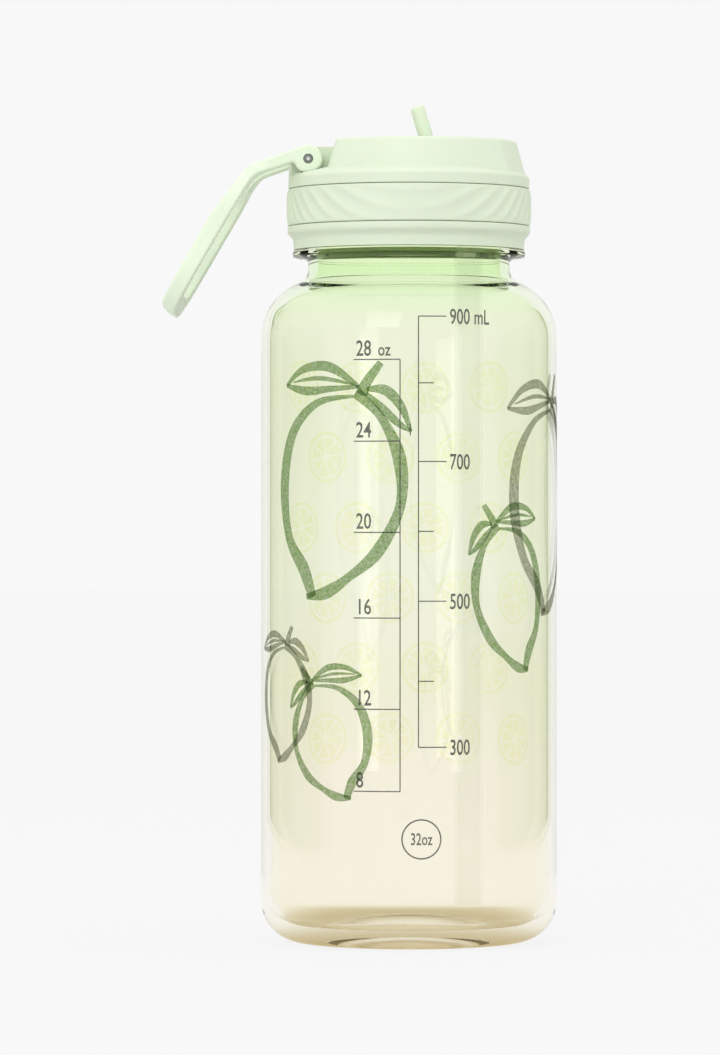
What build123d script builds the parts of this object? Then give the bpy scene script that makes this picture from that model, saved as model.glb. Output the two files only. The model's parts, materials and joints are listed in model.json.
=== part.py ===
from build123d import *
from math import cos, radians, sin
import os

# A 32 fl oz clear glass water bottle with a screw lid, a flip-up spout on a straw, and a carry loop.
# Millimetres. The origin is the centre of the ring that the bottle stands on, with +Z up the bottle's axis.
# The carry loop hangs on the -X side of the lid, and the spout and the loop both turn about axes along Y.

os.makedirs("parts", exist_ok=True)

# ---------------------------------------- driving dimensions
# Glass bottle
BODY_R = 43.2
WALL = 2.8
HEEL_R = 12.1
FOOT_INNER_R = 25.0
PUNT_H = 1.8
FLOOR_Z, FLOOR_RISE = 5.4, 1.0
SHOULDER_Z = 176.4
SHOULDER_R = 17.5
NECK_R = 29.5
NECK_BLEND_R = 4.0
FLANGE_R = 34.0
FLANGE_Z = 199.0
FLANGE_TOP_Z = 201.9
FLANGE_SLOPE, FLANGE_EDGE_R, UNDER_FLANGE_R = 1.0, 0.7, 0.6
FINISH_R = 29.2
RIM_Z = 218.2
RIM_EDGE_R = 0.8

# Screw thread, right-handed, one start
PITCH = 4.5
THREAD_EMBED = 0.3
ROOT_W, CREST_W = 2.4, 1.35
NECK_THREAD_Z = 206.4
NECK_THREAD_TURNS = 1.25
NECK_CREST_R = 30.9
LID_THREAD_Z = 204.6
LID_THREAD_TURNS = 1.0
LID_CREST_R = 29.75

# Screw collar, its deck, and the grip ring and gasket that it holds
SKIRT_Z = 202.1
SKIRT_R = 33.8
STEP_LOW_Z, STEP_HIGH_Z = 204.5, 207.7
BORE_LEAD, LEAD_H = 0.3, 1.0
COLLAR_BORE_R = 31.4
COLLAR_CUP_R = 33.7
COLLAR_R = 35.5
SEAM_LOW_Z = 208.9
SEAM_TOP_Z = 219.8
SEAM, SEAM_EDGE_R = 0.2, 0.3
RING_R, RING_CROWN = 35.7, 0.22
DECK_Z = 219.9
DECK_TOP_Z = 222.0
PLUG_R, PLUG_WALL, PLUG_DEPTH = 26.2, 1.5, 3.6
GASKET_IN_R, GASKET_OUT_R, GASKET_EDGE_R = 26.75, 31.1, 0.4
SEAL_GAP = 0.08

# Lid cover
COVER_R = 35.25
COVER_WALL = 2.0
RIM_TOP_Z = 222.7
RIM_MID_R, RIM_MID_Z = 34.7, 223.6
SHELF_R, SHELF_Z = 33.0, 224.25
DOME_MID_R, DOME_MID_Z = 24.0, 226.2
CROWN_Z = 226.8
BLOCK_Z = 222.6
BLOCK_TOP_Z = 233.8
BLOCK_LEAN = 0.28
BLOCK_LEFT_X, BLOCK_RIGHT_X = -24.4, 34.5
BLOCK_MID_X, BLOCK_SHOULDER_X = 2.0, 29.0
BLOCK_CORNER_Y, BLOCK_BOW_Y = 19.3, 28.4
BLOCK_CORNER_R, BLOCK_EDGE_R = 3.6, 1.3

# Flip-up spout
SPOUT_X, SPOUT_Z = 6.95, 228.6
SPOUT_LEAN_DEG = 16.5
SPOUT_REACH = 16.1
BARREL_R = 4.2
BARREL_HALF_W = 7.0
SPOUT_PIN_R = 1.25
SPOUT_PIN_IN, SPOUT_PIN_OUT = 4.2, 8.9
SPOUT_THICK, SPOUT_WIDE = 4.0, 11.4
STEM_THICK, STEM_WIDE, STEM_REACH = 2.6, 9.6, 11.0
BORE_THICK, BORE_WIDE = 1.5, 6.4
TROUGH_X0, TROUGH_X1 = -12.2, 11.9
TROUGH_Z = 226.0
TROUGH_WALL, TROUGH_FLOOR = 2.2, 1.6
TROUGH_CORNER_R, TROUGH_PLAY = 1.2, 0.25
SCOOP_X, SCOOP_R, SCOOP_RISE = -12.6, 7.2, 1.6
SADDLE_X, SADDLE_LONG, SADDLE_WIDE, SADDLE_H = 7.95, 6.0, 10.0, 3.2
SADDLE_PLAY = 0.2
PLATE_H, PLATE_BEYOND, PLATE_CORNER_R = 1.4, 2.2, 2.0

# Straw and its way up through the deck
STRAW_X = 17.5
STRAW_R, STRAW_BORE_R = 4.2, 3.2
STRAW_FOOT_Z = 9.3
DUCT_W = 4.4
SOCKET_H = 2.2
NOZZLE_FOOT_Z = 206.5
NOZZLE_BORE_R = 2.3

# Vent
VENT_X = -11.0
VENT_HOLE_R = 1.3
VENT_OUT_X, VENT_OUT_R = -8.5, 0.8
VENT_FLAP_R = 4.2

# Carry loop: two short arms that flare into a wide rounded ring
PIVOT_X, PIVOT_Z = -29.3, 227.95
PIN_R = 1.4
EYE_R = 4.1
ARM_OUT, ARM_IN = 14.5, 8.4
ARM_THICK = 3.6
ARM_FALL_DEG = 19.0
ARM_REACH = 16.0
KNEE_X, KNEE_Z = -57.2, 210.9
LOOP_FALL_DEG = 59.7
LOOP_THICK = 4.45
LOOP_BAR = 6.4
LOOP_WIDE, LOOP_LONG = 63.4, 48.2
LOOP_CORNER_R = 15.0
LOOP_TIP_X, LOOP_TIP_Z = -72.14, 184.96
LOOP_EDGE_R = 0.8
ARM_FLARE_R, SLOT_CORNER_R = 4.0, 3.0
LUG_HALF_W = 8.1
LUG_TOP_Z = 231.8
LUG_ROUND_R = 4.2
LUG_BURIED = 5.0
EYE_RELIEF = 0.4

RUNNING_GAP = 0.05
PRESS_GAP = 0.01


def save(part, label):
    """Labels a finished piece and writes it to parts/."""
    part.label = label
    export_step(part, f"parts/{label}.step")


def circles_at(part, z, radius=None):
    """The part's level circular edges at one height, of one radius if it is given."""
    level = part.edges().filter_by(GeomType.CIRCLE).filter_by(lambda e: abs(e.arc_center.Z - z) < 0.01)
    return level if radius is None else level.filter_by(lambda e: abs(e.radius - radius) < 0.01)


def cross_bar(x, z, radius, y_from, y_to):
    """A cylinder along Y through (x, z), from y_from to y_to."""
    with BuildPart(mode=Mode.PRIVATE) as bar:
        with BuildSketch(Plane.XZ.offset(-y_to)):
            with Locations((x, z)):
                Circle(radius)
        extrude(amount=y_to - y_from)
    return bar.part


def helical_rib(inner, outer, start_z, turns):
    """A trapezoidal thread rib along a right-handed helix; inner and outer are each a radius and a width."""
    mean = (inner[0] + outer[0]) / 2
    half = (outer[0] - inner[0]) / 2
    with BuildPart(mode=Mode.PRIVATE) as rib:
        with BuildLine() as route:
            Helix(PITCH, PITCH * turns, mean, center=(0, 0, start_z))
        with BuildSketch(Plane(route.line @ 0, x_dir=(1, 0, 0), z_dir=route.line % 0)):
            with BuildLine():
                Polyline(
                    (-half, -inner[1] / 2),
                    (half, -outer[1] / 2),
                    (half, outer[1] / 2),
                    (-half, inner[1] / 2),
                    close=True,
                )
            make_face()
        sweep(path=route.line, is_frenet=True)
    return rib.part


# ---------------------------------------- glass bottle
# The shoulder is one arc, blended into the neck by a smaller concave arc. The inside keeps their centres.
foot_r = BODY_R - HEEL_R
shoulder_c = Vector(BODY_R - SHOULDER_R, SHOULDER_Z)
blend_x = NECK_R + NECK_BLEND_R
blend_rise = ((SHOULDER_R + NECK_BLEND_R) ** 2 - (blend_x - shoulder_c.X) ** 2) ** 0.5
blend_c = Vector(blend_x, SHOULDER_Z + blend_rise)
toward_blend = (blend_c - shoulder_c).normalized()
shoulder_deg = toward_blend.get_angle(Vector(1, 0))


def shoulder_points(inset):
    """The shoulder arcs' meeting point, their middle points and the neck's foot, inset into the wall."""
    big, small = SHOULDER_R - inset, NECK_BLEND_R + inset
    meet = shoulder_c + toward_blend * big
    big_middle = shoulder_c + Vector(big, 0).rotate(Axis.Z, shoulder_deg / 2)
    small_middle = blend_c - Vector(small, 0).rotate(Axis.Z, shoulder_deg / 2)
    return meet, big_middle, small_middle, Vector(NECK_R - inset, blend_c.Y)


with BuildPart() as bottle_body:
    with BuildSketch(Plane.XZ):
        with BuildLine():
            meet, big_middle, small_middle, neck_foot = shoulder_points(0)
            ThreePointArc((0, PUNT_H), (FOOT_INNER_R / 2, PUNT_H * 3 / 4), (FOOT_INNER_R, 0))
            Line((FOOT_INNER_R, 0), (foot_r, 0))
            RadiusArc((foot_r, 0), (BODY_R, HEEL_R), -HEEL_R)
            Line((BODY_R, HEEL_R), (BODY_R, SHOULDER_Z))
            ThreePointArc((BODY_R, SHOULDER_Z), big_middle, meet)
            ThreePointArc(meet, small_middle, neck_foot)
            Polyline(
                neck_foot,
                (NECK_R, FLANGE_Z),
                (FLANGE_R, FLANGE_Z + FLANGE_SLOPE),
                (FLANGE_R, FLANGE_TOP_Z),
                (FINISH_R, FLANGE_TOP_Z),
                (FINISH_R, RIM_Z),
                (NECK_R - WALL, RIM_Z),
            )
            meet, big_middle, small_middle, neck_foot = shoulder_points(WALL)
            Line((NECK_R - WALL, RIM_Z), neck_foot)
            ThreePointArc(neck_foot, small_middle, meet)
            ThreePointArc(meet, big_middle, (BODY_R - WALL, SHOULDER_Z))
            heel_z = FLOOR_Z + HEEL_R - WALL
            Line((BODY_R - WALL, SHOULDER_Z), (BODY_R - WALL, heel_z))
            RadiusArc((BODY_R - WALL, heel_z), (foot_r, FLOOR_Z), HEEL_R - WALL)
            Polyline((foot_r, FLOOR_Z), (0, FLOOR_Z + FLOOR_RISE), (0, PUNT_H))
        make_face()
    revolve(axis=Axis.Z)
    fillet(circles_at(bottle_body, FLANGE_TOP_Z, FLANGE_R), FLANGE_EDGE_R)
    fillet(circles_at(bottle_body, FLANGE_Z + FLANGE_SLOPE, FLANGE_R), FLANGE_EDGE_R)
    fillet(circles_at(bottle_body, RIM_Z), RIM_EDGE_R)
    fillet(circles_at(bottle_body, FLANGE_Z, NECK_R), UNDER_FLANGE_R)
    neck_root = (FINISH_R - THREAD_EMBED, ROOT_W)
    add(helical_rib(neck_root, (NECK_CREST_R, CREST_W), NECK_THREAD_Z, NECK_THREAD_TURNS))
save(bottle_body.part, "bottle_body")

# ---------------------------------------- lid gasket, between the glass rim and the deck
with BuildPart() as lid_gasket:
    with BuildSketch(Plane.XY.offset(RIM_Z + SEAL_GAP)):
        Circle(GASKET_OUT_R)
        Circle(GASKET_IN_R, mode=Mode.SUBTRACT)
    extrude(amount=DECK_Z - RIM_Z - 2 * SEAL_GAP)
    fillet(circles_at(lid_gasket, RIM_Z + SEAL_GAP), GASKET_EDGE_R)
save(lid_gasket.part, "lid_gasket")

# ---------------------------------------- screw collar: skirt, threaded cup and deck
port_x = SPOUT_X + BARREL_R * sin(radians(SPOUT_LEAN_DEG))
duct_x = (port_x + STRAW_X) / 2
duct_run = STRAW_X - port_x
shelf_z = SEAM_LOW_Z - SEAM / 2

with BuildPart() as screw_collar:
    with BuildSketch(Plane.XZ):
        with BuildLine():
            Polyline((COLLAR_BORE_R + BORE_LEAD, SKIRT_Z), (SKIRT_R - 0.1, SKIRT_Z), (SKIRT_R, STEP_LOW_Z))
            Spline((SKIRT_R, STEP_LOW_Z), (COLLAR_R, STEP_HIGH_Z), tangents=[(0.05, 1), (0, 1)])
            Polyline(
                (COLLAR_R, STEP_HIGH_Z),
                (COLLAR_R, shelf_z),
                (COLLAR_CUP_R, shelf_z),
                (COLLAR_CUP_R, DECK_TOP_Z),
                (0, DECK_TOP_Z),
                (0, DECK_Z),
                (PLUG_R - PLUG_WALL, DECK_Z),
                (PLUG_R - PLUG_WALL, DECK_Z - PLUG_DEPTH),
                (PLUG_R, DECK_Z - PLUG_DEPTH),
                (PLUG_R, DECK_Z),
                (COLLAR_BORE_R, DECK_Z),
                (COLLAR_BORE_R, SKIRT_Z + LEAD_H),
                (COLLAR_BORE_R + BORE_LEAD, SKIRT_Z),
            )
        make_face()
    revolve(axis=Axis.Z)
    fillet(circles_at(screw_collar, shelf_z, COLLAR_R), SEAM_EDGE_R)
    lid_root = (COLLAR_BORE_R + THREAD_EMBED, ROOT_W)
    add(helical_rib((LID_CREST_R, CREST_W), lid_root, LID_THREAD_Z, LID_THREAD_TURNS))
    with BuildSketch(Plane.XY.offset(DECK_Z)):
        with Locations((duct_x, 0)):
            SlotCenterToCenter(duct_run, DUCT_W)
    extrude(amount=DECK_TOP_Z - DECK_Z, mode=Mode.SUBTRACT)
    with Locations((VENT_X, 0, DECK_TOP_Z)):
        Hole(VENT_HOLE_R, depth=DECK_TOP_Z - DECK_Z)
save(screw_collar.part, "screw_collar")

# ---------------------------------------- grip ring, between the collar's shelf and the cover
ring_low, ring_high = SEAM_LOW_Z + SEAM / 2, SEAM_TOP_Z - SEAM / 2
ring_low_r, ring_high_r = RING_R - RING_CROWN, RING_R - 1.5 * RING_CROWN

with BuildPart() as grip_ring:
    with BuildSketch(Plane.XZ):
        with BuildLine():
            ring_mid = (ring_low + ring_high) / 2
            ThreePointArc((ring_low_r, ring_low), (RING_R, ring_mid), (ring_high_r, ring_high))
            Polyline(
                (ring_high_r, ring_high),
                (COLLAR_CUP_R + SEAL_GAP, ring_high),
                (COLLAR_CUP_R + SEAL_GAP, ring_low),
                (ring_low_r, ring_low),
            )
        make_face()
    revolve(axis=Axis.Z)
    fillet(circles_at(grip_ring, ring_low, ring_low_r), SEAM_EDGE_R)
    fillet(circles_at(grip_ring, ring_high, ring_high_r), SEAM_EDGE_R)
save(grip_ring.part, "grip_ring")

# ---------------------------------------- lid cover: domed rim, raised block and hinge lug
cover_foot_z = SEAM_TOP_Z + SEAM / 2
trough_half_w = BARREL_HALF_W + TROUGH_PLAY


def block_plan(inset):
    """The raised block's plan at its foot: bowed sides, a rounded right end and a straight left end."""
    left, right = BLOCK_LEFT_X + inset, BLOCK_RIGHT_X - inset
    shoulder_x = BLOCK_SHOULDER_X - inset
    corner_y, bow_y = BLOCK_CORNER_Y - inset, BLOCK_BOW_Y - inset
    with BuildSketch(mode=Mode.PRIVATE) as plan:
        with BuildLine():
            Line((left, -corner_y), (left, corner_y))
            ThreePointArc((left, corner_y), (BLOCK_MID_X, bow_y), (shoulder_x, corner_y))
            ThreePointArc((shoulder_x, corner_y), (right, 0), (shoulder_x, -corner_y))
            ThreePointArc((shoulder_x, -corner_y), (BLOCK_MID_X, -bow_y), (left, -corner_y))
        make_face()
        fillet(plan.vertices(), BLOCK_CORNER_R)
    return plan.sketch


def block_solid(low_z, high_z, inset):
    """The block between two heights, with walls that lean in as they rise."""
    with BuildPart(mode=Mode.PRIVATE) as block:
        for z in (low_z, high_z):
            with BuildSketch(Plane.XY.offset(z)):
                add(block_plan(inset + BLOCK_LEAN * (z - BLOCK_Z)))
        loft(ruled=True)
    return block.part


def rounded_block():
    """The block's outside, with its top edge rounded."""
    with BuildPart(mode=Mode.PRIVATE) as block:
        add(block_solid(BLOCK_Z, BLOCK_TOP_Z, 0))
        fillet(block.faces().sort_by(Axis.Z)[-1].edges(), BLOCK_EDGE_R)
    return block.part


def hinge_lug():
    """The lug between the loop's two eyes: flat on top, and rounded over at the left."""
    lug_r = COVER_R - 0.1
    lug_right = BLOCK_LEFT_X + LUG_BURIED
    halfway = LUG_ROUND_R * (1 - cos(radians(45)))
    with BuildPart(mode=Mode.PRIVATE) as lug:
        with BuildSketch(Plane.XZ):
            with BuildLine():
                Polyline(
                    (-lug_r, LUG_TOP_Z - LUG_ROUND_R),
                    (-lug_r, BLOCK_Z),
                    (lug_right, BLOCK_Z),
                    (lug_right, LUG_TOP_Z),
                    (LUG_ROUND_R - lug_r, LUG_TOP_Z),
                )
                ThreePointArc(
                    (LUG_ROUND_R - lug_r, LUG_TOP_Z),
                    (halfway - lug_r, LUG_TOP_Z - halfway),
                    (-lug_r, LUG_TOP_Z - LUG_ROUND_R),
                )
            make_face()
        extrude(amount=LUG_HALF_W, both=True)
        with BuildSketch(Plane.XY.offset(BLOCK_Z)):
            Circle(lug_r)
        extrude(amount=LUG_TOP_Z, mode=Mode.INTERSECT)
    return lug.part


def cover_hollow():
    """The hollow under the cover, which leaves the walls of the spout's trough and of the finger scoop."""
    walled_left = SCOOP_X - SCOOP_R
    walled_right = TROUGH_X1 + TROUGH_WALL
    with BuildPart(mode=Mode.PRIVATE) as hollow:
        add(block_solid(DECK_TOP_Z, BLOCK_TOP_Z - COVER_WALL, COVER_WALL))
        with BuildSketch(Plane.XY.offset(TROUGH_Z - TROUGH_FLOOR)):
            with Locations(((walled_left + walled_right) / 2, 0)):
                RectangleRounded(walled_right - walled_left, 2 * (trough_half_w + TROUGH_WALL), 1.5)
        extrude(amount=BLOCK_TOP_Z - TROUGH_Z, mode=Mode.SUBTRACT)
    return hollow.part


with BuildPart() as lid_cover:
    with BuildSketch(Plane.XZ):
        with BuildLine():
            Polyline((0, CROWN_Z), (0, cover_foot_z), (COVER_R, cover_foot_z), (COVER_R, RIM_TOP_Z))
            ThreePointArc((COVER_R, RIM_TOP_Z), (RIM_MID_R, RIM_MID_Z), (SHELF_R, SHELF_Z))
            ThreePointArc((SHELF_R, SHELF_Z), (DOME_MID_R, DOME_MID_Z), (0, CROWN_Z))
        make_face()
    revolve(axis=Axis.Z)
    fillet(circles_at(lid_cover, cover_foot_z), SEAM_EDGE_R)
    add(rounded_block())
    add(hinge_lug())
    # relief that the loop's eyes turn in, on both sides of the lug
    relief_out = ARM_OUT + EYE_RELIEF
    for y_from, y_to in ((-relief_out, -LUG_HALF_W), (LUG_HALF_W, relief_out)):
        add(cross_bar(PIVOT_X, PIVOT_Z, EYE_R + EYE_RELIEF, y_from, y_to), mode=Mode.SUBTRACT)
    # underside: the seat on the deck, and the hollow
    with BuildSketch(Plane.XY.offset(cover_foot_z)):
        Circle(COLLAR_CUP_R + SEAL_GAP)
    extrude(amount=DECK_TOP_Z + SEAL_GAP - cover_foot_z, mode=Mode.SUBTRACT)
    add(cover_hollow(), mode=Mode.SUBTRACT)
    # the trough that the spout folds into, open below where its barrel meets the seal
    with BuildSketch(Plane.XY.offset(TROUGH_Z)):
        with Locations(((TROUGH_X0 + TROUGH_X1) / 2, 0)):
            RectangleRounded(TROUGH_X1 - TROUGH_X0, 2 * trough_half_w, TROUGH_CORNER_R)
    extrude(amount=BLOCK_TOP_Z - TROUGH_Z, mode=Mode.SUBTRACT)
    barrel_play = cross_bar(SPOUT_X, SPOUT_Z, BARREL_R + TROUGH_PLAY, -trough_half_w, trough_half_w)
    add(barrel_play, mode=Mode.SUBTRACT)
    with BuildSketch(Plane.XY.offset(DECK_TOP_Z)):
        with Locations((SADDLE_X, 0)):
            Rectangle(SADDLE_LONG + SADDLE_PLAY, SADDLE_WIDE + SADDLE_PLAY)
    extrude(amount=TROUGH_Z - DECK_TOP_Z + 1, mode=Mode.SUBTRACT)
    # finger scoop beyond the folded spout's tip
    scoop_half_w = trough_half_w + 0.6
    scoop = cross_bar(SCOOP_X, BLOCK_TOP_Z + SCOOP_RISE, SCOOP_R, -scoop_half_w, scoop_half_w)
    add(scoop, mode=Mode.SUBTRACT)
    # bores for the spout's two pins and for the loop's pin, and the vent's outlet
    spout_pin_bore = SPOUT_PIN_R + RUNNING_GAP
    add(cross_bar(SPOUT_X, SPOUT_Z, spout_pin_bore, -SPOUT_PIN_OUT, SPOUT_PIN_OUT), mode=Mode.SUBTRACT)
    add(cross_bar(PIVOT_X, PIVOT_Z, PIN_R + PRESS_GAP, -ARM_OUT, ARM_OUT), mode=Mode.SUBTRACT)
    with Locations((VENT_OUT_X, 0, TROUGH_Z)):
        Hole(VENT_OUT_R, depth=2 * TROUGH_FLOOR)
save(lid_cover.part, "lid_cover")

# ---------------------------------------- spout: rigid barrel, its pins, the soft mouthpiece
lean = radians(SPOUT_LEAN_DEG)
spout_plane = Plane(
    origin=(SPOUT_X, 0, SPOUT_Z),
    x_dir=(cos(lean), 0, sin(lean)),
    z_dir=(-sin(lean), 0, cos(lean)),
)

with BuildPart() as spout_barrel:
    add(cross_bar(SPOUT_X, SPOUT_Z, BARREL_R, -BARREL_HALF_W, BARREL_HALF_W))
    fillet(spout_barrel.edges().filter_by(GeomType.CIRCLE), 0.3)
    with BuildSketch(spout_plane):
        SlotOverall(STEM_WIDE, STEM_THICK, rotation=90)
    extrude(amount=STEM_REACH)
    with BuildSketch(spout_plane):
        SlotOverall(BORE_WIDE, BORE_THICK, rotation=90)
    extrude(amount=SPOUT_REACH, both=True, mode=Mode.SUBTRACT)
    for y_from, y_to in ((-BARREL_HALF_W, -SPOUT_PIN_IN), (SPOUT_PIN_IN, BARREL_HALF_W)):
        add(cross_bar(SPOUT_X, SPOUT_Z, SPOUT_PIN_R + PRESS_GAP, y_from, y_to), mode=Mode.SUBTRACT)
save(spout_barrel.part, "spout_barrel")

with BuildPart() as spout_pins:
    pin_in, pin_out = SPOUT_PIN_IN + 0.1, SPOUT_PIN_OUT - 0.1
    for y_from, y_to in ((-pin_out, -pin_in), (pin_in, pin_out)):
        add(cross_bar(SPOUT_X, SPOUT_Z, SPOUT_PIN_R, y_from, y_to))
    chamfer(spout_pins.edges().filter_by(GeomType.CIRCLE), 0.2)
save(spout_pins.part, "spout_pins")

with BuildPart() as spout_mouthpiece:
    with BuildSketch(spout_plane.offset(BARREL_R - 0.3)):
        SlotOverall(SPOUT_WIDE, SPOUT_THICK, rotation=90)
    extrude(amount=SPOUT_REACH - BARREL_R + 0.3)
    fillet(spout_mouthpiece.faces().sort_by(Axis.Z)[-1].edges(), 0.9)
    barrel_room = cross_bar(SPOUT_X, SPOUT_Z, BARREL_R + PRESS_GAP, -BARREL_HALF_W, BARREL_HALF_W)
    add(barrel_room, mode=Mode.SUBTRACT)
    with BuildSketch(spout_plane):
        SlotOverall(STEM_WIDE + 2 * PRESS_GAP, STEM_THICK + 2 * PRESS_GAP, rotation=90)
    extrude(amount=STEM_REACH + PRESS_GAP, mode=Mode.SUBTRACT)
    with BuildSketch(spout_plane):
        SlotOverall(BORE_WIDE, BORE_THICK, rotation=90)
    extrude(amount=SPOUT_REACH, mode=Mode.SUBTRACT)
save(spout_mouthpiece.part, "spout_mouthpiece")

# ---------------------------------------- port seal: a soft plate with the barrel's saddle
plate_x0 = SADDLE_X - SADDLE_LONG / 2 - PLATE_BEYOND
plate_x1 = STRAW_X + DUCT_W / 2 + 1.2

with BuildPart() as port_seal:
    with BuildSketch(Plane.XY.offset(DECK_TOP_Z + SEAL_GAP)):
        with Locations(((plate_x0 + plate_x1) / 2, 0)):
            RectangleRounded(plate_x1 - plate_x0, SADDLE_WIDE + 1, PLATE_CORNER_R)
    extrude(amount=PLATE_H)
    with BuildSketch(Plane.XY.offset(DECK_TOP_Z + SEAL_GAP)):
        with Locations((SADDLE_X, 0)):
            RectangleRounded(SADDLE_LONG, SADDLE_WIDE, 1.2)
    extrude(amount=SADDLE_H)
    barrel_seat = cross_bar(SPOUT_X, SPOUT_Z, BARREL_R + RUNNING_GAP, -BARREL_HALF_W, BARREL_HALF_W)
    add(barrel_seat, mode=Mode.SUBTRACT)
    with BuildSketch(spout_plane):
        SlotOverall(BORE_WIDE + 0.4, BORE_THICK + 0.5, rotation=90)
    extrude(amount=-2 * BARREL_R, mode=Mode.SUBTRACT)
save(port_seal.part, "port_seal")

# ---------------------------------------- straw socket under the deck, and the straw
with BuildPart() as straw_socket:
    with BuildSketch(Plane.XY.offset(DECK_Z - SOCKET_H)):
        with Locations((duct_x, 0)):
            SlotCenterToCenter(duct_run, DUCT_W + 4.4)
    extrude(amount=SOCKET_H - PRESS_GAP)
    fillet(straw_socket.faces().sort_by(Axis.Z)[0].edges(), 0.5)
    with BuildSketch(Plane.XY.offset(NOZZLE_FOOT_Z)):
        with Locations((STRAW_X, 0)):
            Circle(STRAW_BORE_R - RUNNING_GAP)
    extrude(amount=DECK_Z - SOCKET_H - NOZZLE_FOOT_Z + 0.2)
    chamfer(straw_socket.faces().sort_by(Axis.Z)[0].edges(), 0.4)
    with BuildSketch(Plane.XY.offset(DECK_Z)):
        with Locations((duct_x, 0)):
            SlotCenterToCenter(duct_run, DUCT_W)
    extrude(amount=-SOCKET_H + 1.0, mode=Mode.SUBTRACT)
    with Locations((STRAW_X, 0, DECK_Z)):
        Hole(NOZZLE_BORE_R)
save(straw_socket.part, "straw_socket")

with BuildPart() as straw:
    with BuildSketch(Plane.XY.offset(STRAW_FOOT_Z)):
        with Locations((STRAW_X, 0)):
            Circle(STRAW_R)
            Circle(STRAW_BORE_R, mode=Mode.SUBTRACT)
    extrude(amount=DECK_Z - SOCKET_H - SEAL_GAP - STRAW_FOOT_Z)
    fillet(circles_at(straw, STRAW_FOOT_Z), 0.25)
save(straw.part, "straw")

# ---------------------------------------- vent valve: a soft mushroom that hangs in the deck
with BuildPart() as vent_valve:
    flap_z, bead_z = DECK_Z - 0.1, DECK_TOP_Z + 0.1
    stalk_r, bead_r = VENT_HOLE_R - RUNNING_GAP, VENT_HOLE_R + 0.5
    with BuildSketch(Plane.XZ):
        with BuildLine():
            ThreePointArc((0, DECK_Z - 1.5), (2.4, DECK_Z - 1.25), (VENT_FLAP_R, flap_z))
            Polyline(
                (VENT_FLAP_R, flap_z),
                (stalk_r, flap_z),
                (stalk_r, bead_z),
                (bead_r, bead_z),
                (bead_r - 0.3, bead_z + 0.9),
                (0, bead_z + 1.2),
                (0, DECK_Z - 1.5),
            )
        make_face()
    revolve(axis=Axis.Z)
save(Pos(VENT_X, 0, 0) * vent_valve.part, "vent_valve")

# ---------------------------------------- carry loop
arm_dir = Vector(-cos(radians(ARM_FALL_DEG)), -sin(radians(ARM_FALL_DEG)))
arm_up = Vector(arm_dir.Y, -arm_dir.X)
loop_dir = Vector(-cos(radians(LOOP_FALL_DEG)), -sin(radians(LOOP_FALL_DEG)))
loop_in = Vector(-loop_dir.Y, loop_dir.X)
arm_start = Vector(PIVOT_X, PIVOT_Z) + arm_up * EYE_R
arm_end = arm_start + arm_dir * ARM_REACH
under_arm = arm_start - arm_up * ARM_THICK
outer_tip = Vector(LOOP_TIP_X, LOOP_TIP_Z)
inner_tip = outer_tip + loop_in * LOOP_THICK
inner_elbow = inner_tip + loop_dir * ((under_arm - inner_tip).dot(arm_up) / loop_dir.dot(arm_up))


def loop_from_side():
    """The carry loop's side profile, as wide as the whole loop."""
    with BuildSketch(mode=Mode.PRIVATE) as strip:
        with BuildLine():
            Polyline(
                arm_start,
                arm_end,
                (KNEE_X, KNEE_Z),
                outer_tip,
                inner_tip,
                inner_elbow,
                under_arm,
                close=True,
            )
        make_face()
        fillet(strip.vertices().sort_by_distance(inner_elbow)[0], 9.0)
        fillet(strip.vertices().sort_by_distance(arm_end)[0], 2.5)
        fillet(strip.vertices().sort_by_distance(outer_tip)[0], 2.2)
    with BuildPart(mode=Mode.PRIVATE) as side:
        with BuildSketch(Plane.XZ):
            add(strip.sketch)
            with Locations((PIVOT_X, PIVOT_Z)):
                Circle(EYE_R)
        extrude(amount=LOOP_WIDE / 2, both=True)
    return side.part


def loop_from_front():
    """The carry loop seen square on: a rounded ring on two arms, with an open slot between the arms."""
    ring_plane = Plane(
        origin=(inner_tip.X, 0, inner_tip.Y),
        x_dir=(-loop_dir.X, 0, -loop_dir.Y),
        z_dir=(loop_in.X, 0, loop_in.Y),
    )
    arms_x = LOOP_LONG - LOOP_BAR / 2
    arms_long = ARM_REACH + EYE_R
    with BuildSketch(mode=Mode.PRIVATE) as outline:
        with Locations((LOOP_LONG / 2, 0)):
            RectangleRounded(LOOP_LONG, LOOP_WIDE, LOOP_CORNER_R)
        with Locations((arms_x + arms_long / 2, 0)):
            Rectangle(arms_long, 2 * ARM_OUT)
        # out and back in, which rounds the inward corners where the arms flare into the ring
        offset(amount=ARM_FLARE_R, kind=Kind.ARC, mode=Mode.REPLACE)
        offset(amount=-ARM_FLARE_R, kind=Kind.ARC, mode=Mode.REPLACE)
        with Locations((LOOP_LONG / 2, 0)):
            window = (LOOP_LONG - 2 * LOOP_BAR, LOOP_WIDE - 2 * LOOP_BAR)
            RectangleRounded(*window, LOOP_CORNER_R - LOOP_BAR, mode=Mode.SUBTRACT)
        with Locations((arms_x + arms_long / 2, 0)):
            Rectangle(2 * arms_long, 2 * ARM_IN, mode=Mode.SUBTRACT)
        slot_ends = [(LOOP_LONG - LOOP_BAR, side * ARM_IN) for side in (-1, 1)]
        fillet([outline.vertices().sort_by_distance(end)[0] for end in slot_ends], SLOT_CORNER_R)
    with BuildPart(mode=Mode.PRIVATE) as front:
        with BuildSketch(ring_plane):
            add(outline.sketch)
        extrude(amount=LOOP_LONG, both=True)
    return front.part


with BuildPart() as carry_loop:
    add(loop_from_side())
    add(loop_from_front(), mode=Mode.INTERSECT)
    fillet(carry_loop.edges(), LOOP_EDGE_R)
    add(cross_bar(PIVOT_X, PIVOT_Z, PIN_R + RUNNING_GAP, -ARM_OUT, ARM_OUT), mode=Mode.SUBTRACT)
save(carry_loop.part, "carry_loop")

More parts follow.
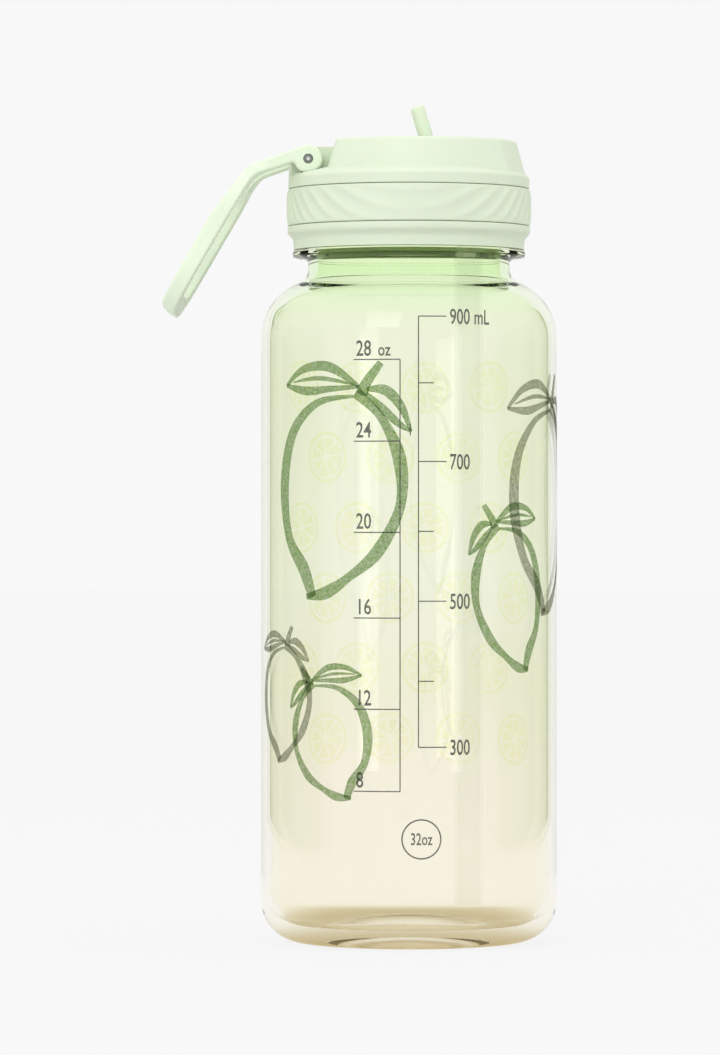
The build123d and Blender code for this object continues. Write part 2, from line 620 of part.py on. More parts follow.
# ---------------------------------------- loop pin, with domed ends in the eyes
with BuildPart() as loop_pin:
    add(cross_bar(PIVOT_X, PIVOT_Z, PIN_R, -ARM_OUT, ARM_OUT))
    fillet(loop_pin.edges().filter_by(GeomType.CIRCLE), 0.8)
save(loop_pin.part, "loop_pin")
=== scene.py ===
import json
import math

import bmesh
import bpy
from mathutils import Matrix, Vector


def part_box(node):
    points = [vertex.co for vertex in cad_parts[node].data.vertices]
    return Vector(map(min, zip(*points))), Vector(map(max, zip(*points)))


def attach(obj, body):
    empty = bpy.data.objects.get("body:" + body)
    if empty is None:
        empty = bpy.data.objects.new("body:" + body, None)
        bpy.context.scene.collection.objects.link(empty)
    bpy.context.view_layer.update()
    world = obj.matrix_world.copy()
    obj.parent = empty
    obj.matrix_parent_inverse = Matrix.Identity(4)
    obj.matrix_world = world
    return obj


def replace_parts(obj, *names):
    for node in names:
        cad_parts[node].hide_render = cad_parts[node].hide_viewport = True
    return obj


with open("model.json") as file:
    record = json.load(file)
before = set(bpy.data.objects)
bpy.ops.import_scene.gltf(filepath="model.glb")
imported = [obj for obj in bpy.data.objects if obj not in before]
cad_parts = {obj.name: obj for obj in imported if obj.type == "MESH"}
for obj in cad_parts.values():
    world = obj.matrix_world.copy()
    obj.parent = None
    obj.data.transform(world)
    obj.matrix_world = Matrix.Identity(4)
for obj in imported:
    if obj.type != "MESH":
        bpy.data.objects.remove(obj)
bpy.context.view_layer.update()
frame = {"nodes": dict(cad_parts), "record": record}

MM = 0.001
GLASS_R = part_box("bottle_body")[1][0] / MM
RIM_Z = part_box("bottle_body")[1][2] / MM
INK_R = GLASS_R + 0.06
TAU = 2 * math.pi


# ------------------------------------------------------------------ node helpers
def material(name):
    """A new node material with its Principled shader."""
    mat = bpy.data.materials.new(name)
    mat.use_nodes = True
    return mat, mat.node_tree.nodes, mat.node_tree.links, mat.node_tree.nodes["Principled BSDF"]


def noise(nodes, links, scale, detail=4.0, rough=0.55):
    """A noise texture in object space."""
    coord = nodes.new("ShaderNodeTexCoord")
    tex = nodes.new("ShaderNodeTexNoise")
    tex.inputs["Scale"].default_value = scale
    tex.inputs["Detail"].default_value = detail
    tex.inputs["Roughness"].default_value = rough
    links.new(coord.outputs["Object"], tex.inputs["Vector"])
    return tex


def spread(nodes, links, source, low, high):
    """A texture's 0.3 to 0.7 mapped to a range of values."""
    remap = nodes.new("ShaderNodeMapRange")
    remap.inputs["From Min"].default_value = 0.3
    remap.inputs["From Max"].default_value = 0.7
    remap.inputs["To Min"].default_value = low
    remap.inputs["To Max"].default_value = high
    links.new(source, remap.inputs["Value"])
    return remap.outputs["Result"]


def colours(nodes, links, source, stops):
    """A colour ramp with these (position, colour) stops."""
    ramp = nodes.new("ShaderNodeValToRGB")
    for i, (at, colour) in enumerate(stops):
        stop = ramp.color_ramp.elements[i] if i < 2 else ramp.color_ramp.elements.new(at)
        stop.position = at
        stop.color = (*colour, 1)
    links.new(source, ramp.inputs["Fac"])
    return ramp.outputs["Color"]


def levels(nodes, links, source, stops, low, high):
    """A number that follows these (position, level) stops, level 0 to 1 giving low to high."""
    ramp = colours(nodes, links, source, [(at, (level, level, level)) for at, level in stops])
    remap = nodes.new("ShaderNodeMapRange")
    remap.inputs["To Min"].default_value = low
    remap.inputs["To Max"].default_value = high
    links.new(ramp, remap.inputs["Value"])
    return remap.outputs["Result"]


def shade(colour, factor):
    return tuple(c * factor for c in colour)


# ------------------------------------------------------------------ materials
def plastic(name, colour, rough, grain=900.0, bump=0.05, soft=0.0):
    """Moulded plastic or silicone: a fine matt grain, a slow drift of colour, and uneven roughness."""
    mat, nodes, links, bsdf = material(name)
    slow = noise(nodes, links, 28.0, 2.0)
    fine = noise(nodes, links, grain, 3.0, 0.7)
    drift = [(0.3, shade(colour, 0.965)), (0.7, shade(colour, 1.02))]
    links.new(colours(nodes, links, slow.outputs["Fac"], drift), bsdf.inputs["Base Color"])
    uneven = spread(nodes, links, fine.outputs["Fac"], rough - 0.06, rough + 0.08)
    links.new(uneven, bsdf.inputs["Roughness"])
    relief = nodes.new("ShaderNodeBump")
    relief.inputs["Strength"].default_value = bump
    relief.inputs["Distance"].default_value = 0.0002
    links.new(fine.outputs["Fac"], relief.inputs["Height"])
    links.new(relief.outputs["Normal"], bsdf.inputs["Normal"])
    bsdf.inputs["Specular IOR Level"].default_value = 0.35
    if soft:
        bsdf.inputs["Subsurface Weight"].default_value = soft
        bsdf.inputs["Subsurface Scale"].default_value = 0.0015
    return mat


# (height as a share of the rim's, tint of the glass)
WASH = [
    (0.0, (0.62, 0.48, 0.22)),
    (0.009, (0.74, 0.63, 0.39)),
    (0.021, (0.95, 0.91, 0.76)),
    (0.030, (0.985, 0.96, 0.87)),
    (0.05, (1.0, 0.975, 0.885)),
    (0.22, (1.0, 0.975, 0.885)),
    (0.33, (0.975, 0.972, 0.855)),
    (0.46, (0.975, 0.986, 0.885)),
    (0.72, (0.965, 0.985, 0.865)),
    (0.82, (0.962, 0.988, 0.87)),
    (0.865, (0.94, 1.0, 0.84)),
    (0.90, (0.85, 0.99, 0.72)),
    (0.92, (0.93, 1.0, 0.80)),
    (1.0, (0.93, 1.0, 0.80)),
]
DRIFT = [(0.3, (0.985, 0.985, 0.98)), (0.7, (1.0, 1.0, 1.0))]
CLEARNESS = [(0.0, 0.7), (0.02, 1.0)]
# how strongly the glass refracts: little in the heel and the neck, where it would only show as dark bands
BEND = [(0.0, 0.0), (0.035, 0.0), (0.09, 1.0), (0.79, 1.0), (0.85, 0.2), (1.0, 0.25)]
WEAK_IOR, GLASS_IOR = 1.02, 1.46


def glass():
    """Clear glass with a colour wash: green at the neck, cream lower down, amber at the heel."""
    mat, nodes, links, bsdf = material("clear_glass")
    coord = nodes.new("ShaderNodeTexCoord")
    split = nodes.new("ShaderNodeSeparateXYZ")
    links.new(coord.outputs["Object"], split.inputs["Vector"])
    height = nodes.new("ShaderNodeMapRange")
    height.inputs["From Max"].default_value = RIM_Z * MM
    links.new(split.outputs["Z"], height.inputs["Value"])
    wash = colours(nodes, links, height.outputs["Result"], WASH)
    drift = noise(nodes, links, 9.0, 2.0)
    mix = nodes.new("ShaderNodeMix")
    mix.data_type = "RGBA"
    mix.blend_type = "MULTIPLY"
    mix.inputs["Factor"].default_value = 1.0
    links.new(wash, mix.inputs["A"])
    links.new(colours(nodes, links, drift.outputs["Fac"], DRIFT), mix.inputs["B"])
    links.new(mix.outputs["Result"], bsdf.inputs["Base Color"])
    ripple = noise(nodes, links, 14.0, 1.0)
    relief = nodes.new("ShaderNodeBump")
    relief.inputs["Strength"].default_value = 0.02
    relief.inputs["Distance"].default_value = 0.0006
    links.new(ripple.outputs["Fac"], relief.inputs["Height"])
    links.new(relief.outputs["Normal"], bsdf.inputs["Normal"])
    clear = levels(nodes, links, height.outputs["Result"], CLEARNESS, 0.0, 1.0)
    links.new(clear, bsdf.inputs["Transmission Weight"])
    bend = levels(nodes, links, height.outputs["Result"], BEND, WEAK_IOR, GLASS_IOR)
    links.new(bend, bsdf.inputs["IOR"])
    bsdf.inputs["IOR"].default_value = GLASS_IOR
    bsdf.inputs["Roughness"].default_value = 0.0
    return mat


def film(name, colour, speckle, grain):
    """A see-through print that tints what is behind it, with a grain where the brush left the glass bare."""
    mat, nodes, links, bsdf = material(name)
    dots = noise(nodes, links, grain, 3.0, 0.7)
    bare = tuple(c + (1.0 - c) * speckle for c in colour)
    tone = colours(nodes, links, dots.outputs["Fac"], [(0.42, colour), (0.66, bare)])
    links.new(tone, bsdf.inputs["Base Color"])
    bsdf.inputs["Roughness"].default_value = 0.0
    bsdf.inputs["IOR"].default_value = 1.0
    bsdf.inputs["Transmission Weight"].default_value = 1.0
    return mat


def ink(name, colour, cover, speckle):
    """Printed ink that is nearly opaque, with a slight unevenness."""
    mat, nodes, links, bsdf = material(name)
    dots = noise(nodes, links, 420.0, 3.0, 0.65)
    drift = [(0.3, shade(colour, 0.8)), (0.7, shade(colour, 1.25))]
    links.new(colours(nodes, links, dots.outputs["Fac"], drift), bsdf.inputs["Base Color"])
    links.new(spread(nodes, links, dots.outputs["Fac"], cover, cover - speckle), bsdf.inputs["Alpha"])
    bsdf.inputs["Roughness"].default_value = 0.55
    bsdf.inputs["Specular IOR Level"].default_value = 0.2
    return mat


def straw_plastic():
    """Thin pale plastic that lets most of the light through."""
    mat, nodes, links, bsdf = material("straw_plastic")
    slow = noise(nodes, links, 60.0, 2.0)
    drift = [(0.3, (0.90, 0.95, 0.84)), (0.7, (0.96, 0.99, 0.92))]
    links.new(colours(nodes, links, slow.outputs["Fac"], drift), bsdf.inputs["Base Color"])
    links.new(spread(nodes, links, slow.outputs["Fac"], 0.05, 0.09), bsdf.inputs["Alpha"])
    bsdf.inputs["Roughness"].default_value = 0.35
    return mat


PIN_R = 1.5
# painted shade and highlight on the pin ends: a light centre for the lit domed pin end, a dark ring for the
# shadowed recess round it, grey beyond
PIN_SHADE_AND_HIGHLIGHT_RINGS = [
    (0.25, (0.62, 0.63, 0.61)),
    (0.42, (0.14, 0.15, 0.14)),
    (0.72, (0.19, 0.20, 0.19)),
    (0.95, (0.42, 0.45, 0.40)),
]


def pin_plastic():
    """Grey pin ends with painted light, on the loop's hinge line: a painted shade ring where the recess
    round the pin falls in shadow, and a lighter painted highlight at the centre for the pin's lit domed end.
    """
    mat, nodes, links, bsdf = material("pin_plastic")
    low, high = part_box("loop_pin")
    coord = nodes.new("ShaderNodeTexCoord")
    flat = nodes.new("ShaderNodeVectorMath")
    flat.operation = "MULTIPLY"
    flat.inputs[1].default_value = (1, 0, 1)
    links.new(coord.outputs["Object"], flat.inputs[0])
    reach = nodes.new("ShaderNodeVectorMath")
    reach.operation = "DISTANCE"
    reach.inputs[1].default_value = ((low[0] + high[0]) / 2, 0, (low[2] + high[2]) / 2)
    links.new(flat.outputs["Vector"], reach.inputs[0])
    across = nodes.new("ShaderNodeMapRange")
    across.inputs["From Max"].default_value = PIN_R * MM
    links.new(reach.outputs["Value"], across.inputs["Value"])
    # paints the shade ring and the highlight on the pin ends
    links.new(colours(nodes, links, across.outputs["Result"], PIN_SHADE_AND_HIGHLIGHT_RINGS), bsdf.inputs["Base Color"])
    fine = noise(nodes, links, 900.0, 3.0)
    links.new(spread(nodes, links, fine.outputs["Fac"], 0.28, 0.42), bsdf.inputs["Roughness"])
    return mat


LID_GREEN = (0.680, 0.760, 0.600)
MATERIALS = {
    "lid_plastic": plastic("lid_plastic", LID_GREEN, 0.48, soft=0.10),
    "loop_plastic": plastic("loop_plastic", (0.735, 0.835, 0.655), 0.44, bump=0.02, soft=0.10),
    "pin_plastic": pin_plastic(),
    "soft_seal": plastic("soft_seal", (0.73, 0.83, 0.64), 0.62, grain=1500.0, bump=0.03, soft=0.2),
    "straw_plastic": straw_plastic(),
    "clear_glass": glass(),
}
SCALE_INK = ink("scale_ink", (0.055, 0.062, 0.055), 0.92, 0.06)
GREEN_INK = film("green_ink", (0.075, 0.165, 0.035), 0.22, 1500.0)
GREY_INK = film("grey_ink", (0.13, 0.145, 0.10), 0.22, 1500.0)
PALE_INK = film("pale_ink", (0.93, 0.95, 0.66), 0.30, 120.0)


# ------------------------------------------------------------------ mesh helpers
def mesh_object(name, bm, mat, body, sharp_deg=38):
    """A finished mesh as an object that rides on a body."""
    mesh = bpy.data.meshes.new(name)
    bmesh.ops.recalc_face_normals(bm, faces=bm.faces)
    bm.to_mesh(mesh)
    bm.free()
    mesh.polygons.foreach_set("use_smooth", [True] * len(mesh.polygons))
    mesh.set_sharp_from_angle(angle=math.radians(sharp_deg))
    mesh.materials.append(mat)
    obj = bpy.data.objects.new(name, mesh)
    bpy.context.scene.collection.objects.link(obj)
    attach(obj, body)
    return obj


def arc(cx, cz, r, start_deg, end_deg, steps):
    """Points of an arc in the (radius, height) plane."""
    turn = (end_deg - start_deg) / steps
    angles = [math.radians(start_deg + turn * i) for i in range(steps + 1)]
    return [(cx + r * math.cos(a), cz + r * math.sin(a)) for a in angles]


def lathe(bm, profile, segments):
    """Revolves a closed (radius, height) profile in millimetres about the bottle's axis."""
    rings = []
    for r, z in profile:
        if r < 0.001:
            rings.append([bm.verts.new((0, 0, z * MM))] * segments)
            continue
        angles = [TAU * i / segments for i in range(segments)]
        rings.append([bm.verts.new((r * MM * math.cos(a), r * MM * math.sin(a), z * MM)) for a in angles])
    for lower, upper in zip(rings, rings[1:]):
        for i in range(segments):
            j = (i + 1) % segments
            corners = [lower[i], lower[j], upper[j], upper[i]]
            bm.faces.new(list(dict.fromkeys(corners)))


# ------------------------------------------------------------------ glass body
WALL = 2.8
HEEL_R, FLOOR_Z, PUNT_Z, FOOT_IN = 12.1, 5.4, 1.8, 25.0
SHOULDER_Z, SHOULDER_R, NECK_R, BLEND_R = 176.4, 17.5, 29.5, 4.0
FLANGE_Z, FLANGE_R, FINISH_R = 199.0, 34.0, 29.2
FLANGE_T, LIP_R, RIM_R, ROOT_R = 2.9, 0.7, 0.8, 0.6
FLOOR_RISE = 0.25
GLASS_SEGMENTS, STRAIGHT_Z = 224, (40, 90, 140)
THREAD_PITCH, THREAD_TURNS, THREAD_Z, THREAD_R = 4.5, 1.25, 206.4, 30.9


def glass_profile():
    """The outside from the base's centre up to the rim, and the inside back down."""
    foot = GLASS_R - HEEL_R
    cx, bx = GLASS_R - SHOULDER_R, NECK_R + BLEND_R
    rise = math.sqrt((SHOULDER_R + BLEND_R) ** 2 - (bx - cx) ** 2)
    turn = math.degrees(math.atan2(rise, bx - cx))
    bz = SHOULDER_Z + rise
    punt = [(FOOT_IN * i / 12, PUNT_Z * (1 - (i / 12) ** 2)) for i in range(13)]
    lip_r, lip_z = FLANGE_R - LIP_R, FLANGE_Z + FLANGE_T - LIP_R
    outside = (
        punt
        + arc(foot, HEEL_R, HEEL_R, -90, 0, 24)
        + [(GLASS_R, z) for z in STRAIGHT_Z]
        + arc(cx, SHOULDER_Z, SHOULDER_R, 0, turn, 26)
        + arc(bx, bz, BLEND_R, 180 + turn, 180, 12)[1:]
        + arc(NECK_R + ROOT_R, FLANGE_Z - ROOT_R, ROOT_R, 180, 100, 5)
        + arc(lip_r, lip_z - LIP_R, LIP_R, -60, 0, 5)
        + arc(lip_r, lip_z, LIP_R, 0, 90, 5)
        + [(FINISH_R, FLANGE_Z + FLANGE_T)]
        + arc(FINISH_R - RIM_R, RIM_Z - RIM_R, RIM_R, 0, 90, 6)
    )
    inner = GLASS_R - WALL
    floor_z = FLOOR_Z + HEEL_R - WALL
    inside = (
        arc(NECK_R - WALL + RIM_R, RIM_Z - RIM_R, RIM_R, 90, 180, 6)
        + arc(bx, bz, BLEND_R + WALL, 180, 180 + turn, 14)
        + arc(cx, SHOULDER_Z, SHOULDER_R - WALL, turn, 0, 24)[1:]
        + [(inner, z) for z in reversed(STRAIGHT_Z)]
        + arc(foot, floor_z, HEEL_R - WALL, 0, -90, 18)
        + [(FOOT_IN * share, FLOOR_Z + FLOOR_RISE * up) for share, up in ((0.8, 0.4), (0.4, 0.8), (0, 1))]
    )
    return outside + inside


def thread(bm, inner_r, crest_r, start_z, turns):
    """The neck's thread rib, tapered away at both ends."""
    steps = int(96 * turns)
    section = [(inner_r, -1.25), (crest_r, -0.7), (crest_r, 0.7), (inner_r, 1.25)]
    rings = []
    for i in range(steps + 1):
        a = TAU * turns * i / steps
        grow = min(1.0, 8 * min(i, steps - i) / steps + 0.02)
        z = start_z + THREAD_PITCH * turns * i / steps
        ring = []
        for r, dz in section:
            reach = inner_r + (r - inner_r) * grow
            ring.append(bm.verts.new((reach * MM * math.cos(a), reach * MM * math.sin(a), (z + dz) * MM)))
        rings.append(ring)
    for low, high in zip(rings, rings[1:]):
        for i in range(4):
            j = (i + 1) % 4
            bm.faces.new([low[i], low[j], high[j], high[i]])
    bm.faces.new(rings[0])
    bm.faces.new(rings[-1])


bm = bmesh.new()
lathe(bm, glass_profile(), GLASS_SEGMENTS)
thread(bm, FINISH_R - 0.3, THREAD_R, THREAD_Z, THREAD_TURNS)
glass_body = mesh_object("glass_body", bm, MATERIALS["clear_glass"], "bottle")
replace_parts(glass_body, "bottle_body")

# ------------------------------------------------------------------ grip ring with draped flutes
ring_lo, ring_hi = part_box("grip_ring")
RING_LOW, RING_HIGH = ring_lo[2] / MM, ring_hi[2] / MM
RING_R = ring_hi[0] / MM
RING_BORE_R, RING_EDGE = 33.78, 0.62


def flute(angle, down):
    """How far the ring stands out, in mm: ridges that hang like drapery, closer together at the sides."""
    a = (angle + math.pi) % math.pi - math.pi / 2
    phase = (1.95 * a * a + down + 0.42) / 0.56
    ridge = (0.5 + 0.5 * math.cos(TAU * phase)) ** 1.6
    edge = min(1.0, 6 * min(down, 1 - down))
    centre = 0.35 + 0.65 * min(1.0, abs(a) / 0.5)
    return 0.42 * ridge * edge * centre


def grip_ring():
    """The fluted ring: a closed band with its own edges rounded."""
    bm = bmesh.new()
    segments, rows = 900, 30
    tall = RING_HIGH - RING_LOW
    columns = []
    for i in range(segments):
        a = TAU * i / segments
        points = [(RING_BORE_R, RING_HIGH), (RING_R - RING_EDGE, RING_HIGH)]
        for k in range(rows + 1):
            down = k / rows
            z = RING_HIGH - 0.22 - (tall - 0.44) * down
            points.append((RING_R - 0.32 + 0.9 * flute(a, down), z))
        points += [(RING_R - RING_EDGE, RING_LOW), (RING_BORE_R, RING_LOW)]
        ca, sa = math.cos(a), math.sin(a)
        columns.append([bm.verts.new((r * MM * ca, r * MM * sa, z * MM)) for r, z in points])
    for i, column in enumerate(columns):
        after = columns[(i + 1) % segments]
        n = len(column)
        for k in range(n):
            m = (k + 1) % n
            bm.faces.new([column[k], after[k], after[m], column[m]])
    return mesh_object("fluted_grip_ring", bm, MATERIALS["lid_plastic"], "lid", 60)


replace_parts(grip_ring(), "grip_ring")


# ------------------------------------------------------------------ prints on the glass
def on_glass(s, z, radius=INK_R, back=False):
    """A point s millimetres round from the front's (or the back's) middle, at height z."""
    a = s / GLASS_R + (math.pi if back else 0)
    return (radius * MM * math.sin(a), -radius * MM * math.cos(a), z * MM)


def patch(bm, s0, s1, z0, z1):
    """A thin printed rectangle that follows the glass."""
    steps = max(1, int(abs(s1 - s0) / 1.0))
    low = [bm.verts.new(on_glass(s0 + (s1 - s0) * i / steps, z0)) for i in range(steps + 1)]
    high = [bm.verts.new(on_glass(s0 + (s1 - s0) * i / steps, z1)) for i in range(steps + 1)]
    for i in range(steps):
        bm.faces.new([low[i], low[i + 1], high[i + 1], high[i]])


FONT_CAP, FONT_BOLD = 0.70, 0.012


def lettering(bm, words, left, base, cap, narrow=0.74, centred=False):
    """Plain numbers and units, wrapped on the glass: left edge, baseline and cap height in millimetres."""
    curve = bpy.data.curves.new("words", "FONT")
    curve.body = words
    curve.resolution_u = 3
    curve.offset = FONT_BOLD
    temp = bpy.data.objects.new("words", curve)
    bpy.context.scene.collection.objects.link(temp)
    bpy.context.view_layer.update()
    graph = bpy.context.evaluated_depsgraph_get()
    flat = bpy.data.meshes.new_from_object(temp.evaluated_get(graph))
    size = cap / FONT_CAP
    wide = max(v.co.x for v in flat.vertices) * size * narrow
    start = left - wide / 2 if centred else left
    spots = [(start + v.co.x * size * narrow, base + v.co.y * size) for v in flat.vertices]
    made = [bm.verts.new(on_glass(s, z)) for s, z in spots]
    for face in flat.polygons:
        bm.faces.new([made[i] for i in face.vertices])
    bpy.data.objects.remove(temp)
    bpy.data.curves.remove(curve)
    bpy.data.meshes.remove(flat)


LINE = 0.34
OUNCES = {28: 168.9, 24: 145.6, 20: 119.6, 16: 95.2, 12: 69.2, 8: 45.8}
MILLILITRES = {900: 181.2, 700: 139.8, 500: 100.0, 300: 58.4}
BETWEEN = (162.2, 119.9, 77.2)
OUNCE_S, MILLI_S = -2.9, 2.35
MARK_S, MARK_Z, MARK_R = 3.2, 32.2, 5.55


def scales():
    """The two volume scales and the capacity mark."""
    bm = bmesh.new()
    left, right = OUNCE_S, MILLI_S
    patch(bm, left - LINE / 2, left + LINE / 2, OUNCES[8], OUNCES[28])
    patch(bm, right - LINE / 2, right + LINE / 2, MILLILITRES[300], MILLILITRES[900])
    for amount, z in OUNCES.items():
        patch(bm, left - 13.6, left, z - LINE / 2, z + LINE / 2)
        lettering(bm, str(amount), left - 12.9, z + 1.1, 4.4)
    lettering(bm, "oz", left - 6.4, OUNCES[28] + 1.1, 3.6)
    for amount, z in MILLILITRES.items():
        patch(bm, right, right + 8.1, z - LINE / 2, z + LINE / 2)
        lettering(bm, str(amount), right + 9.0, z - 2.2, 4.4, 0.66)
    lettering(bm, "mL", right + 16.4, MILLILITRES[900] - 2.2, 4.2, 0.66)
    for z in BETWEEN:
        patch(bm, right, right + 4.4, z - LINE / 2, z + LINE / 2)
    patch(bm, -0.15, 0.15, 147.2, 150.6)
    disc(bm, MARK_S, MARK_Z, MARK_R, 0.42)
    lettering(bm, "32oz", MARK_S, MARK_Z - 1.6, 3.4, 0.66, centred=True)
    return mesh_object("volume_scales", bm, SCALE_INK, "bottle")


def spline(a, b, c, d, t):
    """A smooth curve's value, a share t of the way from b to c, with a and d on either side."""
    linear = (c - a) * t
    square = (2 * a - 5 * b + 4 * c - d) * t * t
    cube = (3 * b - a - 3 * c + d) * t**3
    return 0.5 * (2 * b + linear + square + cube)


def smoothed(points, closed):
    """The points with eight steps of a smooth curve between each two."""
    n = len(points)
    out = []
    for i in range(n if closed else n - 1):
        near = [(i + k) % n if closed else min(max(i + k, 0), n - 1) for k in (-1, 0, 1, 2)]
        for step in range(8):
            out.append(tuple(spline(*around, step / 8) for around in zip(*(points[k] for k in near))))
    return out if closed else out + [points[-1]]


def ribbon(bm, points, back=False, closed=False):
    """A brush stroke through (s, z, width) points, smoothed, wrapped on the glass."""
    smooth = smoothed(points, closed)
    rows = []
    m = len(smooth)
    for i, (s, z, w) in enumerate(smooth):
        before = smooth[(i - 1) % m] if closed or i else smooth[0]
        after = smooth[(i + 1) % m] if closed or i < m - 1 else smooth[-1]
        ds, dz = after[0] - before[0], after[1] - before[1]
        size = math.hypot(ds, dz) or 1.0
        ns, nz = -dz / size, ds / size
        half = max(w, 0.02) / 2
        across = [(s + ns * half * k, z + nz * half * k) for k in (-1, 0, 1)]
        rows.append([bm.verts.new(on_glass(*spot, back=back)) for spot in across])
    pairs = list(zip(rows, rows[1:])) + ([(rows[-1], rows[0])] if closed else [])
    for low, high in pairs:
        for k in range(2):
            bm.faces.new([low[k], low[k + 1], high[k + 1], high[k]])


def disc(bm, s, z, radius, width, back=False):
    """A printed circle."""
    turn = TAU / 16
    points = [(s + radius * math.cos(turn * i), z + radius * math.sin(turn * i), width) for i in range(16)]
    ribbon(bm, points, back=back, closed=True)


def placed(points, at, size, tilt, flip):
    """Unit drawing points moved to a place on the glass: at (s, z), size (width, height), turned by tilt."""
    c, s = math.cos(math.radians(tilt)), math.sin(math.radians(tilt))
    out = []
    for x, y, w in points:
        x = -x if flip else x
        px, py = x * size[0], y * size[1]
        out.append((at[0] + px * c - py * s, at[1] + px * s + py * c, w))
    return out


# brush strokes as (across, up, width), across and up as shares of the drawing's size, width in millimetres
LEFT_SIDE = [
    (0.10, 0.98, 0.6),
    (-0.20, 0.93, 1.5),
    (-0.43, 0.76, 2.4),
    (-0.50, 0.50, 2.9),
    (-0.42, 0.24, 2.3),
    (-0.24, 0.08, 2.9),
    (-0.14, -0.06, 1.9),
]
RIGHT_SIDE = [
    (-0.20, -0.06, 1.1),
    (-0.02, -0.03, 2.5),
    (0.16, 0.06, 1.7),
    (0.36, 0.20, 2.5),
    (0.50, 0.44, 1.9),
    (0.47, 0.68, 2.6),
    (0.32, 0.88, 1.6),
    (0.12, 1.00, 2.2),
]
STALK = [(0.16, 0.99, 2.4), (0.20, 1.06, 2.0), (0.29, 1.16, 1.4)]
BIG_LEAF = [
    [(0.14, 1.03, 0.8), (-0.10, 1.12, 1.9), (-0.34, 1.10, 1.5), (-0.52, 1.01, 0.7)],
    [(-0.52, 1.01, 0.7), (-0.30, 0.99, 1.7), (-0.08, 1.01, 1.2), (0.14, 1.03, 0.7)],
    [(-0.44, 1.03, 0.3), (-0.18, 1.06, 0.9), (0.10, 1.04, 0.4)],
]
SMALL_LEAF = [
    [(0.20, 1.02, 0.8), (0.34, 1.02, 2.0), (0.46, 0.94, 1.6), (0.54, 0.82, 0.5)],
    [(0.20, 1.00, 0.6), (0.32, 0.93, 1.6), (0.44, 0.86, 1.4), (0.54, 0.82, 0.5)],
]


def fruit(bm, at, size, tilt=0.0, flip=False, heavy=1.0):
    """A loose brush drawing of a round fruit with a pointed tip, a stalk and two leaves."""
    for stroke in [LEFT_SIDE, RIGHT_SIDE, STALK] + BIG_LEAF + SMALL_LEAF:
        ribbon(bm, [(s, z, w * heavy) for s, z, w in placed(stroke, at, size, tilt, flip)])


def slice_print(bm, s, z, radius):
    """A pale citrus slice on the back of the glass: a rind and eight wedges."""
    disc(bm, s, z, radius, 1.1, back=True)
    for i in range(8):
        a = TAU * i / 8 + 0.2
        wedge = [
            (s + radius * d * math.cos(a), z + radius * d * math.sin(a), w)
            for d, w in ((0.16, 0.5), (0.45, 2.0), (0.80, 3.6))
        ]
        ribbon(bm, wedge, back=True)


scales()

bm = bmesh.new()
fruit(bm, (-24.5, 104.0), (40.0, 56.0), -4.0, heavy=1.5)
fruit(bm, (34.0, 82.0), (25.0, 40.0), 6.0, flip=True, heavy=1.15)
fruit(bm, (-22.5, 45.0), (25.0, 32.0), 8.0, flip=True, heavy=1.0)
mesh_object("green_fruit_print", bm, GREEN_INK, "bottle")

bm = bmesh.new()
fruit(bm, (53.0, 100.0), (36.0, 56.0), 4.0, heavy=1.4)
fruit(bm, (-42.0, 56.0), (24.0, 31.0), 6.0, heavy=1.05)
mesh_object("grey_fruit_print", bm, GREY_INK, "bottle")

SLICE_R, SLICE_STEP, SLICE_RISE, SLICE_LEFT, SLICE_LOW = 7.2, 22.0, 21.0, -38.5, 58.0
bm = bmesh.new()
for row in range(6):
    for column in range(4):
        across = SLICE_LEFT + SLICE_STEP * (column + 0.5 * (row % 2))
        slice_print(bm, across, SLICE_LOW + SLICE_RISE * row, SLICE_R)
mesh_object("pale_slice_print", bm, PALE_INK, "bottle")

# ------------------------------------------------------------------ materials on the CAD pieces
slots = {s["node"]: s["material_slot"] for s in frame["record"]["subparts"]}
for name, obj in frame["nodes"].items():
    obj.data.materials.clear()
    obj.data.materials.append(MATERIALS[slots[name]])

# ------------------------------------------------------------------ floor, light and camera
PALE = 0.939
FLOOR_SIZE, FLOOR_DROP, FLOOR_GLOW = 9.0, 0.0003, 0.925
CARD_X, CARD_NEAR, CARD_FAR, CARD_TOP = 0.42, -0.15, 0.55, 0.55
CARD_COLOUR = (0.47, 0.53, 0.34, 1)


def floor():
    """A plain pale floor that glows like a light table, with a trace of soft shadow."""
    bm = bmesh.new()
    bmesh.ops.create_grid(bm, x_segments=4, y_segments=4, size=FLOOR_SIZE)
    mesh = bpy.data.meshes.new("floor")
    bm.to_mesh(mesh)
    bm.free()
    obj = bpy.data.objects.new("floor", mesh)
    obj.location.z = -FLOOR_DROP
    bpy.context.scene.collection.objects.link(obj)
    mat, nodes, links, bsdf = material("pale_floor")
    bsdf.inputs["Base Color"].default_value = (0.06, 0.06, 0.06, 1)
    bsdf.inputs["Roughness"].default_value = 0.9
    bsdf.inputs["Specular IOR Level"].default_value = 0.0
    bsdf.inputs["Emission Color"].default_value = (1, 1, 1, 1)
    bsdf.inputs["Emission Strength"].default_value = PALE * FLOOR_GLOW
    mesh.materials.append(mat)


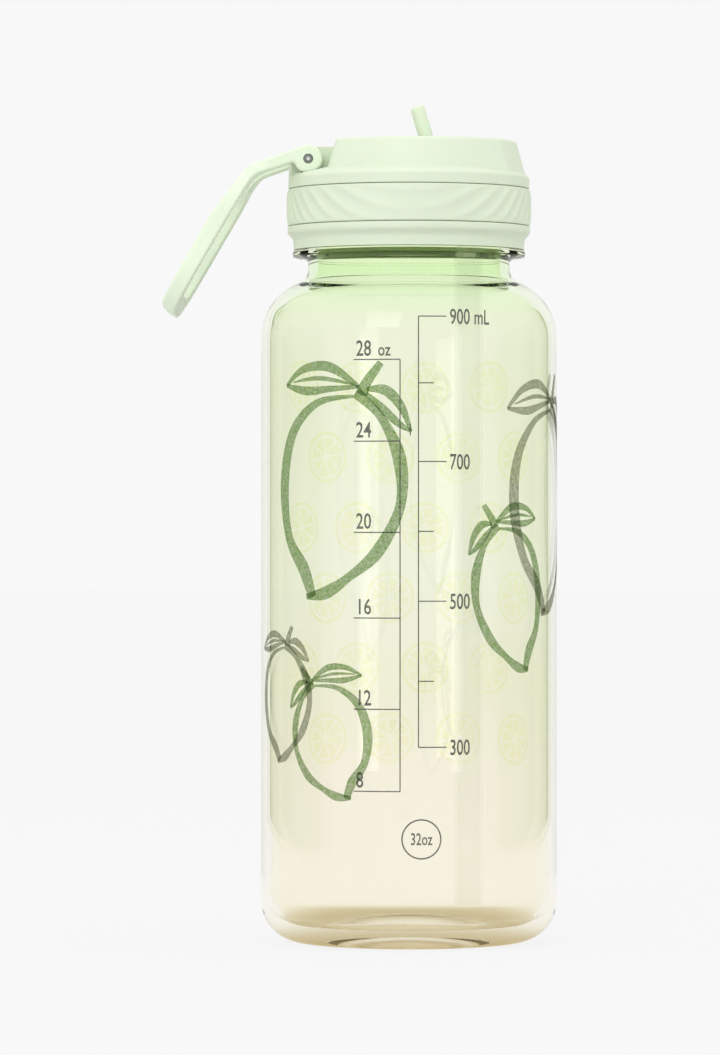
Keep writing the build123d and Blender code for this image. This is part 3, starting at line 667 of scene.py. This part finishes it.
def area_light(name, at, look_at, size, power, gloss_only=False):
    """A soft rectangular light aimed at a point; a gloss-only one shows just as a reflection."""
    data = bpy.data.lights.new(name, "AREA")
    data.shape = "RECTANGLE"
    data.size, data.size_y = size
    data.energy = power
    obj = bpy.data.objects.new(name, data)
    obj.location = at
    away = obj.location - Vector(look_at)
    obj.rotation_mode = "QUATERNION"
    obj.rotation_quaternion = away.to_track_quat("Z", "Y")
    obj.visible_diffuse = not gloss_only
    bpy.context.scene.collection.objects.link(obj)


def flag(name, x):
    """A grey studio card beside the object, which only shows as the darker edges in the glass."""
    bm = bmesh.new()
    corners = ((CARD_NEAR, 0), (CARD_FAR, 0), (CARD_FAR, CARD_TOP), (CARD_NEAR, CARD_TOP))
    bm.faces.new([bm.verts.new((x, y, z)) for y, z in corners])
    mesh = bpy.data.meshes.new(name)
    bm.to_mesh(mesh)
    bm.free()
    obj = bpy.data.objects.new(name, mesh)
    bpy.context.scene.collection.objects.link(obj)
    mat, nodes, links, bsdf = material(name)
    bsdf.inputs["Base Color"].default_value = (0.02, 0.02, 0.02, 1)
    bsdf.inputs["Emission Color"].default_value = CARD_COLOUR
    bsdf.inputs["Emission Strength"].default_value = 1.0
    mesh.materials.append(mat)
    obj.visible_camera = False
    obj.visible_diffuse = False


floor()
flag("left_card", -CARD_X)
flag("right_card", CARD_X)
area_light("key", (-0.5, -1.25, 0.95), (0, 0, 0.18), (0.7, 0.9), 5.5)
area_light("top", (0.15, -0.1, 1.3), (0, 0, 0.2), (0.9, 0.9), 2.5)
MIDDLE = (0, 0, 0.13)
area_light("left_strip", (-0.64, -1.02, 0.16), MIDDLE, (0.34, 0.62), 0.85, gloss_only=True)
area_light("right_strip", (0.72, -0.96, 0.16), MIDDLE, (0.16, 0.62), 0.35, gloss_only=True)

world = bpy.data.worlds.new("pale")
world.use_nodes = True
world.node_tree.nodes["Background"].inputs["Color"].default_value = (PALE, PALE, PALE, 1)
bpy.context.scene.world = world

camera = bpy.data.cameras.new("camera")
camera.sensor_width = 36.0
camera.lens = 187.7
camera.clip_end = 100.0
eye = bpy.data.objects.new("camera", camera)
eye.location = (-0.0143, -1.609, 0.121)
eye.rotation_euler = (math.radians(90), 0, 0)
bpy.context.scene.collection.objects.link(eye)
bpy.context.scene.camera = eye
bpy.context.scene.view_settings.view_transform = "Standard"
